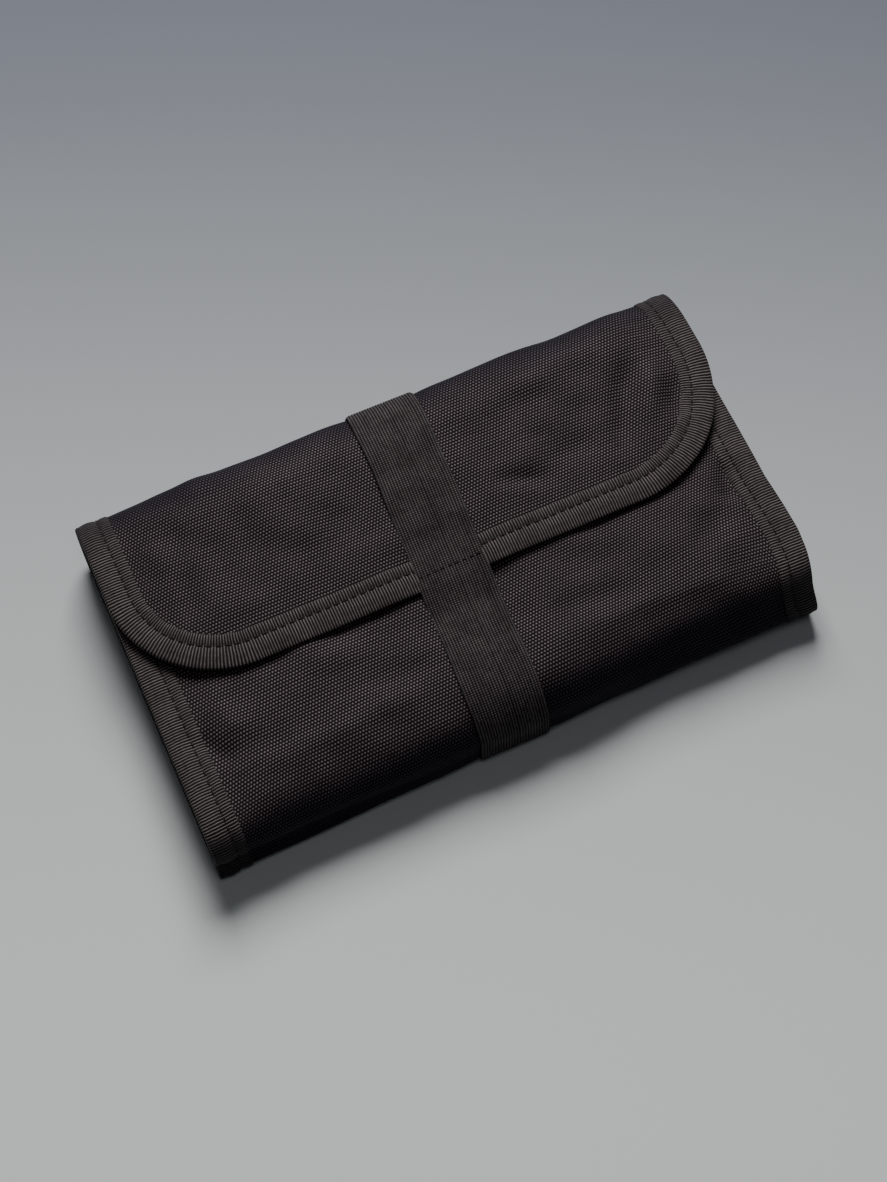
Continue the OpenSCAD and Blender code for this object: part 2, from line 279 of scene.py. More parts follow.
def flap_shape(x, s, y, z):
    inner = free_of_binding(x) * smooth((y - FLAP_EDGE - TAPE) / 12.0)
    top = smooth((z - 20) / 6)
    pillow = 0.9 * inner * top
    soft = (0.80 * flap_waves(x, y) + 0.22 * fine_waves(x, y)) * (0.25 + 0.75 * inner)
    folds = (crease(x, y, -82, 54, -89, 6, 5.0, -1.2) + crease(x, y, -76, 52, -54, 2, 6.0, 0.6)
             + crease(x, y, 100, 32, 95, 12, 3.4, -2.0) + crease(x, y, 88, 46, 68, 4, 4.6, -2.3)
             + crease(x, y, 97, 42, 82, 12, 4.2, 1.3)
             + crease(x, y, 20, 44, 98, 50, 5.0, 0.7) + crease(x, y, -96, 46, -14, 50, 5.0, 0.6)
             + crease(x, y, 30, 30, 88, 38, 6.0, 0.5) + crease(x, y, -60, 14, -18, 26, 5.0, -0.5)
             + crease(x, y, 20, 20, 48, 8, 3.4, -1.2) + crease(x, y, 20, 12, 70, 20, 5.0, -0.8))
    return pillow + soft * (0.3 + 0.7 * top) + folds * (0.4 + 0.6 * inner) + band_press(x, y)


def front_shape(x, s, y, z):
    inner = free_of_binding(x)
    shown = smooth((FLAP_EDGE + 14 - y) / 8.0)
    soft = (0.65 * front_waves(x, y * 0.8 - z) + 0.20 * fine_waves(x, y)) * (0.3 + 0.7 * inner)
    folds = (crease(x, y, 104, -4, 98, -24, 3.6, -1.9) + crease(x, y, 100, -22, 74, -34, 4.6, -1.1)
             + crease(x, y, 97, -4, 84, -24, 4.5, 0.7)
             + crease(x, y, -105, -24, -95, -42, 3.8, -1.6) + crease(x, y, -100, -34, -70, -42, 5.0, -0.8)
             + crease(x, y, -98, -14, -86, -34, 4.5, 0.8)
             + crease(x, y, -84, -16, -26, -22, 5.0, 0.6) + crease(x, y, 20, -18, 78, -26, 5.0, -0.6)
             + crease(x, y, -94, -46, -18, -41, 4.0, 0.9) + crease(x, y, 14, -42, 98, -47, 4.0, 0.9)
             + crease(x, y, -70, -32, -14, -34, 4.0, -0.6) + crease(x, y, 16, -34, 60, -36, 3.6, -0.6))
    return (0.7 * inner + soft + folds) * shown * smooth((z - 8) / 8) + band_press(x, y) * shown


def back_shape(x, s, y, z):
    # only outwards of the fold, so that the case stays flat on its base
    lift = smooth(z / 6.0)
    return band_press(x, y) * lift + 0.3 * lift * free_of_binding(x) * flap_waves(x, z * 2 + y)


flap.push(flap_shape)
front.push(front_shape)
back_far.push(back_shape)
back_near.push(back_shape)


def join_in_wall(upper, lower):
    """Joins the start of one surface to the end of the other in one line, with the same normals."""
    meet_p = (upper.p[:, 0] + lower.p[:, -1]) / 2
    fade = smooth(1 - np.arange(NS) / 12.0)
    for surface, k, share in ((upper, 0, fade), (lower, -1, fade[::-1])):
        shift = meet_p - surface.p[:, k]
        surface.p = surface.p + shift[:, None, :] * share[None, :, None]
        surface.renew()
    meet_n = upper.n[:, 0] + lower.n[:, -1]
    meet_n /= np.linalg.norm(meet_n, axis=1, keepdims=True)
    upper.n[:, 0], lower.n[:, -1] = meet_n, meet_n


join_in_wall(flap, back_far)
join_in_wall(front, back_near)

PAD = 3.3        # thickness of a padded panel
EDGE = 1.5       # thickness of the two fabrics where they are bound


def thickness(rim):
    """Panel thickness at that distance from the nearest bound edge."""
    return EDGE + (PAD - EDGE) * smooth((rim - TAPE + 1.0) / 3.0)


# ---------------------------------------------------------------- mesh making
def link(name, points, faces, uvs=None, material=None, wall=None):
    mesh = bpy.data.meshes.new(name)
    mesh.from_pydata((np.asarray(points).reshape(-1, 3) * 0.001).tolist(), [], faces)
    mesh.polygons.foreach_set("use_smooth", [True] * len(mesh.polygons))
    if uvs is not None:
        layer = mesh.uv_layers.new(name="UVMap")
        index = np.zeros(len(mesh.loops), np.int32)
        mesh.loops.foreach_get("vertex_index", index)
        layer.data.foreach_set("uv", (np.asarray(uvs).reshape(-1, 2)[index]).astype(np.float32).ravel())
        if wall is not None:
            layer = mesh.uv_layers.new(name="Wall")
            pair = np.repeat(np.asarray(wall).reshape(-1, 1)[index] * 0.001, 2, axis=1)
            layer.data.foreach_set("uv", pair.astype(np.float32).ravel())
    mesh.update()
    obj = bpy.data.objects.new(name, mesh)
    scene.collection.objects.link(obj)
    if material is not None:
        mesh.materials.append(material)
    return obj


def grid_faces(a, b, start=0, flip=False, wrap=False):
    i, j = np.meshgrid(np.arange(a - 1), np.arange(b if wrap else b - 1), indexing="ij")
    k = (j + 1) % b
    quads = np.stack([i * b + j, (i + 1) * b + j, (i + 1) * b + k, i * b + k], axis=-1).reshape(-1, 4) + start
    return (quads[:, ::-1] if flip else quads).tolist()


def grid(name, points, uvs, material, flip=False, wall=None):
    a, b = points.shape[:2]
    return link(name, points, grid_faces(a, b, flip=flip), uvs, material, wall)


def slab(name, outer, inner, uvs, material):
    """A closed thin piece between two grids of the same shape."""
    a, b = outer.shape[:2]
    faces = grid_faces(a, b) + grid_faces(a, b, start=a * b, flip=True)
    o = np.arange(a * b).reshape(a, b)
    rim = np.concatenate([o[:, 0], o[-1, 1:], o[-2::-1, -1], o[0, -2:0:-1]])
    nxt = np.roll(rim, -1)
    faces += [[int(q), int(p), int(p) + a * b, int(q) + a * b] for p, q in zip(rim, nxt)]
    return link(name, np.concatenate([outer.reshape(-1, 3), inner.reshape(-1, 3)]),
                faces, np.concatenate([uvs.reshape(-1, 2)] * 2), material)


# ---------------------------------------------------------------- materials
def new_material(name):
    m = bpy.data.materials.new(name)
    m.use_nodes = True
    m.node_tree.nodes.clear()
    return m, m.node_tree.nodes, m.node_tree.links


class Tree:
    """Short names for the shader nodes that the fabrics share."""

    def __init__(self, name):
        self.material, self.nodes, self.links = new_material(name)
        self.uv = self.nodes.new("ShaderNodeUVMap")
        self.uv.uv_map = "UVMap"
        split = self.nodes.new("ShaderNodeSeparateXYZ")
        self.links.new(self.uv.outputs["UV"], split.inputs[0])
        self.u, self.v = split.outputs["X"], split.outputs["Y"]

    def math(self, operation, a, b=None, c=None):
        n = self.nodes.new("ShaderNodeMath")
        n.operation = operation
        for k, value in enumerate((a, b, c)):
            if value is None:
                continue
            if isinstance(value, (int, float)):
                n.inputs[k].default_value = value
            else:
                self.links.new(value, n.inputs[k])
        return n.outputs[0]

    def noise(self, scale, detail=3.0, stretch=(1, 1, 1), rough=0.55):
        mapping = self.nodes.new("ShaderNodeMapping")
        mapping.inputs["Scale"].default_value = stretch
        self.links.new(self.uv.outputs["UV"], mapping.inputs["Vector"])
        n = self.nodes.new("ShaderNodeTexNoise")
        n.inputs["Scale"].default_value = scale
        n.inputs["Detail"].default_value = detail
        n.inputs["Roughness"].default_value = rough
        self.links.new(mapping.outputs[0], n.inputs["Vector"])
        return n.outputs[0]

    def mix(self, factor, a, b):
        n = self.nodes.new("ShaderNodeMix")
        n.data_type = "RGBA"
        for socket, value in ((n.inputs[0], factor), (n.inputs[6], a), (n.inputs[7], b)):
            if isinstance(value, (int, float)):
                socket.default_value = value
            elif isinstance(value, tuple):
                socket.default_value = (*value, 1.0)
            else:
                self.links.new(value, socket)
        return n.outputs[2]

    def multiply(self, a, b):
        n = self.nodes.new("ShaderNodeMix")
        n.data_type, n.blend_type = "RGBA", "MULTIPLY"
        n.inputs[0].default_value = 1.0
        self.links.new(a, n.inputs[6])
        self.links.new(b, n.inputs[7])
        return n.outputs[2]

    def painted_wall_shade(self, color, shade):
        """Painted shade: a deeper, bluer tone on the side walls, darkening the colour near mid-wall where the
        rolls turn from the light.
        """
        wall = self.nodes.new("ShaderNodeUVMap")
        wall.uv_map = "Wall"
        split = self.nodes.new("ShaderNodeSeparateXYZ")
        self.links.new(wall.outputs["UV"], split.inputs[0])
        edge = self.wobble(split.outputs["X"], self.noise(34.0, 1.0), 0.012)
        return self.multiply(color, self.mix(self.ramp(edge, 0.013, 0.031), shade, (1.0, 1.0, 1.0)))

    def ramp(self, value, low, high):
        n = self.nodes.new("ShaderNodeMapRange")
        n.interpolation_type = "SMOOTHSTEP"
        n.inputs["From Min"].default_value, n.inputs["From Max"].default_value = low, high
        self.links.new(value, n.inputs["Value"])
        return n.outputs[0]

    def wobble(self, coordinate, noise, amount):
        return self.math("ADD", coordinate, self.math("MULTIPLY", self.math("SUBTRACT", noise, 0.5), amount))

    def rib(self, coordinate, pitch):
        """0 in the grooves and 1 on the crowns of ribs of that pitch, in metres."""
        return self.math("ABSOLUTE", self.math("SINE", self.math("MULTIPLY", coordinate, math.pi / pitch)))

    def finish(self, color, level, height, bump, distance, roughness, specular):
        shader = self.nodes.new("ShaderNodeBsdfPrincipled")
        # the gaps between threads are duller than their crowns
        worn = self.math("SUBTRACT", 0.95, self.math("MULTIPLY", level, 0.95 - roughness))
        self.links.new(worn, shader.inputs["Roughness"])
        shader.inputs["Specular IOR Level"].default_value = specular
        shader.inputs["Specular Tint"].default_value = (1.0, 0.84, 0.88, 1.0)
        self.links.new(color, shader.inputs["Base Color"])
        b = self.nodes.new("ShaderNodeBump")
        b.inputs["Strength"].default_value = bump
        b.inputs["Distance"].default_value = distance
        self.links.new(height, b.inputs["Height"])
        self.links.new(b.outputs[0], shader.inputs["Normal"])
        out = self.nodes.new("ShaderNodeOutputMaterial")
        self.links.new(shader.outputs[0], out.inputs[0])
        return self.material


def weave_material(name, pitch_u, pitch_v, dark, light, rough, bump, contrast, specular=0.35, depth=0.0003,
                   roll=False):
    t = Tree(name)
    slow = t.noise(90.0, 2.0)
    u = t.wobble(t.u, t.noise(200.0, 2.0), pitch_u * 0.40)
    v = t.wobble(t.v, t.noise(180.0, 2.0, (1, 1.3, 1)), pitch_v * 0.25)
    su = t.math("SINE", t.math("MULTIPLY", u, math.pi / pitch_u))
    sv = t.math("SINE", t.math("MULTIPLY", v, math.pi / pitch_v))
    over = t.math("GREATER_THAN", t.math("MULTIPLY", su, sv), 0.0)
    # rows of raised crossings along x, each row half a step along from the next
    row = t.math("POWER", t.math("ABSOLUTE", sv), 1.3)
    knot = t.math("MULTIPLY", over, t.math("POWER", t.math("ABSOLUTE", su), 0.35))
    level = t.math("MULTIPLY", row, t.math("ADD", 1 - contrast, t.math("MULTIPLY", knot, contrast)))
    fuzz = t.noise(2600.0, 2.0, (1, 1, 1), 0.7)
    thread = t.noise(520.0, 3.0, (0.10, 1.0, 1))
    grain = t.noise(900.0, 2.0, (1.0, 0.8, 1), 0.7)
    streak = t.math("ADD", t.math("MULTIPLY", thread, 0.55), t.math("MULTIPLY", grain, 0.75))
    tone = t.math("MULTIPLY", t.math("POWER", level, 2.0), t.math("MULTIPLY", streak, 1.6))
    tone = t.math("MULTIPLY", tone, t.math("ADD", 0.72, t.math("MULTIPLY", slow, 0.56)))
    # the colour follows the weave's own pattern, with painted shade making the gaps between threads near black
    color = t.mix(tone, dark, light)
    if roll:
        # painted shade: darker, bluer shell colour on the side walls and rolls
        color = t.painted_wall_shade(color, (0.15, 0.17, 0.32))
    height = t.math("ADD", level, t.math("MULTIPLY", fuzz, 0.12))
    return t.finish(color, level, height, bump, depth, rough, specular)


def rib_material(name, pitch, dark, light, rough, bump=0.9, specular=0.3, power=1.3, cords=0.2,
                 cord_pitch=0.00045, roll=False):
    t = Tree(name)
    along = t.wobble(t.u, t.noise(300.0, 2.0), pitch * 0.35)
    rib = t.math("POWER", t.rib(along, pitch), power)
    cord = t.math("ADD", 1 - cords, t.math("MULTIPLY", t.math("POWER", t.rib(t.v, cord_pitch), 1.1), cords))
    level = t.math("MULTIPLY", rib, cord)
    tone = t.math("MULTIPLY", level, t.math("ADD", 0.35, t.math("MULTIPLY", t.noise(500.0, 3.0), 1.2)))
    tone = t.math("MULTIPLY", tone, t.math("ADD", 0.4, t.math("MULTIPLY", t.noise(110.0, 3.0), 1.2)))
    # the colour follows the ribs' own pattern, with painted shade making the grooves between ribs near black
    color = t.mix(tone, dark, light)
    if roll:
        # painted shade: darker, bluer tape colour on the side walls and rolls
        color = t.painted_wall_shade(color, (0.27, 0.28, 0.32))
    height = t.math("ADD", level, t.math("MULTIPLY", t.noise(2600.0, 2.0), 0.1))
    return t.finish(color, level, height, bump, 0.00022, rough, specular)


SHELL = weave_material("shell_weave", 0.00057, 0.00112, (0.0003, 0.0002, 0.0004), (0.198, 0.154, 0.171), 0.42,
                       bump=1.0, contrast=0.70, specular=0.22, depth=0.00018, roll=True)
LINING = weave_material("lining_weave", 0.0011, 0.0011, (0.003, 0.0026, 0.003), (0.050, 0.044, 0.050), 0.6,
                        bump=0.8, contrast=0.5)
SLEEVE = weave_material("sleeve_weave", 0.0010, 0.0010, (0.002, 0.0016, 0.002), (0.070, 0.058, 0.064), 0.55,
                        bump=0.8, contrast=0.6)
BINDING = rib_material("binding_grosgrain", 0.00100, (0.0003, 0.0003, 0.0003), (0.165, 0.139, 0.140), 0.38,
                       bump=1.0, specular=0.36, power=4.0, roll=True)
ELASTIC = rib_material("elastic_knit", 0.0008, (0.0004, 0.0003, 0.0004), (0.118, 0.103, 0.107), 0.6, bump=0.8,
                       specular=0.12, power=0.7, cords=1.0, cord_pitch=0.001 * BAND_WIDTH / CORDS)
HEM = rib_material("hem_grosgrain", 0.00130, (0.0004, 0.0003, 0.0004), (0.150, 0.125, 0.125), 0.42,
                   bump=1.0, specular=0.4, power=2.5)
THREAD = rib_material("thread_twist", 0.0006, (0.001, 0.001, 0.001), (0.020, 0.016, 0.018), 0.5)


def settle(obj, fold=None, body=None, nodes=()):
    """Bakes a finished piece in place when it has a fold, else attaches it to its body, and hides the CAD
    nodes it stands for.
    """
    if fold:
        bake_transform(obj)
    else:
        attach(obj, body)
    if nodes:
        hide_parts(*nodes)
    return obj


# ---------------------------------------------------------------- outer fabric and lining of each panel
def fabric_end(surface, corners):
    """Where a panel's fabric ends at x: under the tape, and shorter in the rounded corners."""

    def end(x):
        x = x * HALF / (HALF - UNDER_TAPE)
        radius = np.where(x < 0, *corners)
        over = np.clip(np.abs(x) - (HALF - radius), 0, radius)
        return surface.length - radius + np.sqrt(np.clip(radius ** 2 - over ** 2, 0, None)) - UNDER_TAPE

    return end


def from_wall(surface, s):
    """Distance along the cloth from mid-wall, stretched on the near side, whose roll is tighter."""
    scale = 1.0 if surface in (flap, back_far) else 1.5
    return scale * (s if surface in (flap, front) else surface.length - s)


def panel_grid(surface, s_end, nx, ns, off):
    x = np.linspace(UNDER_TAPE - HALF, HALF - UNDER_TAPE, nx)[:, None] * np.ones((1, ns))
    t = np.linspace(0, 1, ns)[None, :] * np.ones((nx, 1))
    s = t * s_end(x)
    rim = np.minimum(HALF - np.abs(x), s_end(x) - s) if surface in (flap, front) else HALF - np.abs(x)
    o = off(rim) if callable(off) else off
    return surface.at(x, s, o), np.stack([x, s], axis=-1) * 0.001, from_wall(surface, s)


def whole(surface):
    return lambda x: surface.length + 0 * x


PANELS = {
    "flap": (flap, fabric_end(flap, FLAP_RADIUS), 190, 110),
    "back_far": (back_far, whole(back_far), 150, 70),
    "back_near": (back_near, whole(back_near), 150, 70),
    "front": (front, fabric_end(front, FRONT_RADIUS), 190, 130),
}
sheets, linings = {}, {}
for key, (surface, s_end, nx, ns) in PANELS.items():
    flips = surface.outward < 0
    points, uvs, wall = panel_grid(surface, s_end, nx, ns, 0.0)
    sheets[key] = grid(key + "_outer_fabric", points, uvs, SHELL, flip=flips, wall=wall)
    points, uvs, _ = panel_grid(surface, s_end, nx // 2, ns // 2, lambda rim: -thickness(rim))
    linings[key] = grid(key + "_inner_fabric", points, uvs, LINING, flip=not flips)


# ---------------------------------------------------------------- binding tape folded over the edges
# (distance in from the edge, height over the fabric) across one face of the tape, with the sewn line's dent
TAPE_PROFILE = [(TAPE, 0.10), (11.7, 0.36), (10.6, 0.52), (9.4, 0.50), (8.5, 0.34), (SEAM_IN, 0.14),
                (7.5, 0.34), (6.6, 0.62), (5.0, 0.86), (3.4, 0.84), (1.8, 0.55)]


def distances(points):
    """How far along the line each of its points lies."""
    return np.concatenate([[0], np.cumsum(np.linalg.norm(np.diff(points, axis=0), axis=1))])


def tape(surface, path_x, path_s, in_x, in_s):
    """Tape along a path on a surface; (in_x, in_s) points from the edge inwards."""
    across_tape = list(TAPE_PROFILE)
    turn = EDGE / 2 + 0.62
    for angle in np.linspace(70, -70, 7):
        a = math.radians(angle)
        across_tape.append((0.9 - 0.95 * math.cos(a), -EDGE / 2 + turn * math.sin(a)))
    across_tape += [(d, -EDGE - lift) for d, lift in TAPE_PROFILE[::-1]]
    points = np.stack([surface.at(path_x + in_x * d, path_s + in_s * d, off) for d, off in across_tape], 1)
    across = distances(points[len(points) // 2])
    along = distances(points[:, 5])
    uvs = np.stack(np.meshgrid(along, across, indexing="ij"), axis=-1) * 0.001
    wall = from_wall(surface, path_s)[:, None] + 0 * across[None, :]
    return points, uvs, wall


def straight_path(surface, side):
    """Along the left (-1) or right (1) end of a strip, from its start to its end."""
    s = np.linspace(0.0, surface.length, int(surface.length / PATH_STEP) + 2)
    return side * HALF + 0 * s, s, -side + 0 * s, 0 * s


def rounded_path(surface, left, right):
    """From the left end of the strip, round the free edge's two corners, to the right end."""
    end = surface.length
    s = np.linspace(0, end - left, int((end - left) / PATH_STEP), endpoint=False)
    parts = [np.stack([-HALF + 0 * s, s, 1 + 0 * s, 0 * s])]
    a = np.linspace(0, math.pi / 2, int(left * 1.57 / PATH_STEP), endpoint=False)
    parts.append(np.stack([-HALF + left - left * np.cos(a), end - left + left * np.sin(a),
                           np.cos(a), -np.sin(a)]))
    x = np.linspace(-HALF + left, HALF - right, int((2 * HALF - left - right) / PATH_STEP), endpoint=False)
    parts.append(np.stack([x, end + 0 * x, 0 * x, -1 + 0 * x]))
    a = np.linspace(0, math.pi / 2, int(right * 1.57 / PATH_STEP), endpoint=False)
    parts.append(np.stack([HALF - right + right * np.sin(a), end - right + right * np.cos(a),
                           -np.sin(a), -np.cos(a)]))
    s = np.linspace(end - right, 0, int((end - right) / PATH_STEP))
    parts.append(np.stack([HALF + 0 * s, s, -1 + 0 * s, 0 * s]))
    return np.concatenate(parts, axis=1)


STITCH_LENGTH, STITCH_GAP, STITCH_RADIUS, STITCH_LIFT = 2.5, 0.75, 0.26, 0.30


def stitches(name, surface, path):
    """A row of separate stitches along a bound edge, each a small sunken capsule."""
    px, ps, ix, isx = path
    x, s = px + ix * SEAM_IN, ps + isx * SEAM_IN
    along = np.concatenate([[0], np.cumsum(np.hypot(np.diff(x), np.diff(s)))])
    count = int(along[-1] / (STITCH_LENGTH + STITCH_GAP))
    points, faces, uvs = [], [], []
    ring, rows = 6, 5
    for k in range(count):
        start = (k + 0.15) * (STITCH_LENGTH + STITCH_GAP)
        t = start + STITCH_LENGTH * np.array([0.0, 0.18, 0.5, 0.82, 1.0])
        cx, cs = np.interp(t, along, x), np.interp(t, along, s)
        sink = np.array([-0.30, 0.0, 0.08, 0.0, -0.30])
        c = surface.at(cx, cs, STITCH_LIFT + sink)
        n = surface.at(cx, cs, STITCH_LIFT + sink + 1.0) - c
        d = np.gradient(c, axis=0)
        d /= np.linalg.norm(d, axis=1, keepdims=True)
        w = np.cross(d, n)
        size = STITCH_RADIUS * np.array([0.35, 0.95, 1.1, 0.95, 0.35])[:, None, None]
        a = np.linspace(0, 2 * math.pi, ring, endpoint=False)
        turned = w[:, None] * np.cos(a)[None, :, None] + 0.8 * n[:, None] * np.sin(a)[None, :, None]
        body = c[:, None] + size * turned
        base = len(points) * rows * ring
        points.append(body.reshape(-1, 3))
        faces += grid_faces(rows, ring, start=base, wrap=True)
        faces += [[base + q for q in range(ring)][::-1], [base + (rows - 1) * ring + q for q in range(ring)]]
        uvs.append(np.stack(np.meshgrid(t, a * STITCH_RADIUS, indexing="ij"), axis=-1).reshape(-1, 2) * 0.001)
    return link(name, np.concatenate(points), faces, np.concatenate(uvs), THREAD)


tapes, seams = {}, {}
flap_path = rounded_path(flap, *FLAP_RADIUS)
front_path = rounded_path(front, *FRONT_RADIUS)
for key, path in (("flap", flap_path), ("front", front_path)):
    surface = PANELS[key][0]
    points, uvs, wall = tape(surface, *path)
    tapes[key] = grid(key + "_binding_tape", points, uvs, BINDING, flip=surface.outward > 0, wall=wall)
    seams[key] = stitches(key + "_binding_seam", surface, path)
for key in ("back_far", "back_near"):
    for side, word in ((-1, "left"), (1, "right")):
        surface = PANELS[key][0]
        path = straight_path(surface, side)
        points, uvs, wall = tape(surface, *path)
        tapes[key, word] = grid(f"{key}_binding_tape_{word}", points, uvs, BINDING,
                                flip=(surface.outward > 0) != (side > 0), wall=wall)
        seams[key, word] = stitches(f"{key}_binding_seam_{word}", surface, path)


# ---------------------------------------------------------------- elastic loop
def band_line():
    """The closed line of the elastic round the case, as (y, z), from the surfaces at its middle."""
    parts = []
    for surface, s0, s1, n in ((flap, 0.0, flap.length - 0.5, 120), (front, None, 0.0, 110),
                               (back_near, back_near.length, 0.0, 70), (back_far, 0.0, back_far.length, 70)):
        if s0 is None:
            y = surface.p[NX // 2, :, 1]
            s0 = float(np.interp(FLAP_EDGE - 9.0, y, surface.s))
        s = np.linspace(s0, s1, n)
        p = surface.at(band_centre + 0 * s, s, 0.9)
        parts.append(p[:, 1:])
    line = np.concatenate(parts)
    line = line[np.concatenate([[True], np.linalg.norm(np.diff(line, axis=0), axis=1) > 0.05])]
    return line


def closed_resample(line, count):
    loop = np.concatenate([line, line[:1]])
    along = distances(loop)
    at = np.linspace(0, along[-1], count, endpoint=False)
    return np.stack([np.interp(at, along, loop[:, k]) for k in (0, 1)], axis=1), along[-1]


BAND_N = 420
loop_line, loop_length = closed_resample(band_line(), BAND_N)
smoothed = loop_line.copy()
for _ in range(10):
    smoothed = (np.roll(smoothed, 1, 0) + 2 * smoothed + np.roll(smoothed, -1, 0)) / 4
tangent = np.roll(smoothed, -1, 0) - np.roll(smoothed, 1, 0)
tangent /= np.linalg.norm(tangent, axis=1, keepdims=True)
outward = np.stack([-tangent[:, 1], tangent[:, 0]], axis=1)
middle_yz = smoothed.mean(0)
outward *= np.sign(((smoothed - middle_yz) * outward).sum())
# never through the fabric: the smoothed line is pushed back out to where the surface was
inside = ((loop_line - smoothed) * outward).sum(1)
smoothed += outward * np.clip(inside, 0, None)[:, None]
smoothed[:, 1] = np.maximum(smoothed[:, 1], 0.75)

PER = 5                # points across one rib
width_at = np.linspace(-0.5, 0.5, CORDS * PER + 1)
cord = np.abs(np.sin(np.linspace(0, CORDS * math.pi, CORDS * PER + 1))) ** 0.7
height_at = 0.34 * cord
for groove, depth in ((14, 0.28), (22, 0.16)):
    height_at[np.abs(width_at - 0.5 * (2 * groove / CORDS - 1)) < 0.4 / CORDS] -= depth
edge_fall = smooth((0.5 - np.abs(width_at)) * BAND_WIDTH / 0.9)
height_at = height_at * edge_fall


def band_grid(side):
    """One face of the elastic: side 1 outside, -1 inside."""
    across = width_at * (BAND_WIDTH + 0.6)
    y = smoothed[:, 0]
    centre = band_x(y)
    narrow = 1.0 - 0.012 * np.sin(np.arange(BAND_N) * 0.13)
    x = centre[:, None] + across[None, :] * narrow[:, None]
    lift = side * (0.30 * edge_fall + (height_at if side > 0 else 0.12 * cord * edge_fall))
    p = np.empty((BAND_N, len(across), 3))
    p[:, :, 0] = x
    p[:, :, 1:] = smoothed[:, None, :] + outward[:, None, :] * lift[None, :, None]
    return p


outer_band, inner_band = band_grid(1), band_grid(-1)
ring = np.concatenate([outer_band, inner_band[:, ::-1]], axis=1)
ring_n = ring.shape[1]
ii, jj = np.meshgrid(np.arange(BAND_N), np.arange(ring_n), indexing="ij")
i2, j2 = (ii + 1) % BAND_N, (jj + 1) % ring_n
faces = np.stack([ii * ring_n + jj, i2 * ring_n + jj, i2 * ring_n + j2, ii * ring_n + j2], -1)
faces = faces.reshape(-1, 4).tolist()
u = np.arange(BAND_N) * loop_length / BAND_N
v = np.concatenate([(width_at + 0.5) * BAND_WIDTH, (width_at[::-1] + 0.5) * BAND_WIDTH])
band = link("elastic_loop", ring.reshape(-1, 3), faces,
            np.stack(np.meshgrid(u, v, indexing="ij"), axis=-1).reshape(-1, 2) * 0.001, ELASTIC)


def cross_stitches(count=9, length=2.0, rows=5, ring=6):
    """The row of stitches that holds the elastic on the flap's bound edge."""
    stitch_y = FLAP_EDGE + 5.0
    top_rows = np.where(smoothed[:, 1] > 20)[0]
    row = top_rows[np.argmin(np.abs(smoothed[top_rows, 0] - stitch_y))]
    base_point = smoothed[row] + outward[row] * 0.52
    t = np.array([0, 0.15, 0.5, 0.85, 1.0])
    a = np.linspace(0, 2 * math.pi, ring, endpoint=False)
    size = 0.34 * np.array([0.4, 0.95, 1.05, 0.95, 0.4])
    points, faces, uvs = [], [], []
    for k in range(count):
        x0 = band_x(stitch_y) - BAND_WIDTH / 2 + 0.6 + k * (BAND_WIDTH - 0.8) / count
        c = np.empty((rows, 3))
        c[:, 0] = x0 + t * length
        c[:, 1] = base_point[0] + 0.10 * k * 0.3
        c[:, 2] = base_point[1] + np.array([-0.35, 0.02, 0.1, 0.02, -0.35])
        body = c[:, None] + size[:, None, None] * np.stack([0 * a, np.cos(a), 0.7 * np.sin(a)], -1)[None]
        base = k * rows * ring
        points.append(body.reshape(-1, 3))
        faces += grid_faces(rows, ring, start=base, wrap=True)
        faces += [[base + q for q in range(ring)][::-1], [base + (rows - 1) * ring + q for q in range(ring)]]
        uvs.append(np.stack(np.meshgrid(t * length, a * 0.3, indexing="ij"), -1).reshape(-1, 2) * 0.001)
    return link("elastic_cross_stitches", np.concatenate(points), faces, np.concatenate(uvs), THREAD)


cross_row = cross_stitches()

# ---------------------------------------------------------------- sleeves, hems and elastic loops inside
SLEEVE_X0, SLEEVE_X1 = mm("back_sleeve_strip")[0][0], mm("back_sleeve_hem")[1][0]
LOOP_X0, LOOP_X1 = mm("back_elastic_loops")[0][0], mm("back_elastic_loops")[1][0]
PITCH = 16.0           # width of a brush lane


def lane_profile(y, low, count, height):
    """Height of the sleeve fabric over the lining across the lanes: flat seams, soft arches between."""
    t = (y - low) / PITCH
    inside = (t > 0) & (t < count)
    f = np.abs((t % 1.0) - 0.5) * 2
    arch = np.sqrt(np.clip(1 - np.clip(f / 0.92, 0, 1) ** 2.4, 0, None)) ** 1.15
    return np.where(inside, height * arch, 0.0)


def inside_strip(name, lining_z, facing, low, count, x0, x1, height, thick, material, nx, end_shape, lift=0.0,
                 lane_noise=0.35, seed=5):
    """A strip of fabric or elastic sewn down between the lanes; facing is 1 up and -1 down."""
    y = np.linspace(low - 1.6, low + count * PITCH + 1.6, count * 22 + 7)
    x = np.linspace(x0, x1, nx)
    X, Y = np.meshgrid(x, y, indexing="ij")
    w = waves(seed, 40, 14)
    bulge = lane_profile(Y, low, count, height) * end_shape(X)
    bulge = bulge * (1 + lane_noise * 0.22 * w(X, Y * 1.4)) + lift
    bulge = np.minimum(bulge, height + lift)
    top = np.stack([X, Y, lining_z + facing * (bulge + thick)], -1)
    under = np.stack([X, Y, lining_z + facing * (bulge + 0.05)], -1)
    uvs = np.stack([X, Y], -1) * 0.001
    obj = slab(name, top if facing > 0 else under, under if facing > 0 else top, uvs, material)
    return obj


def closed_end(x):
    return smooth((x - SLEEVE_X0) / 16.0) ** 0.8


def open_all(x):
    return 1.0 + 0 * x


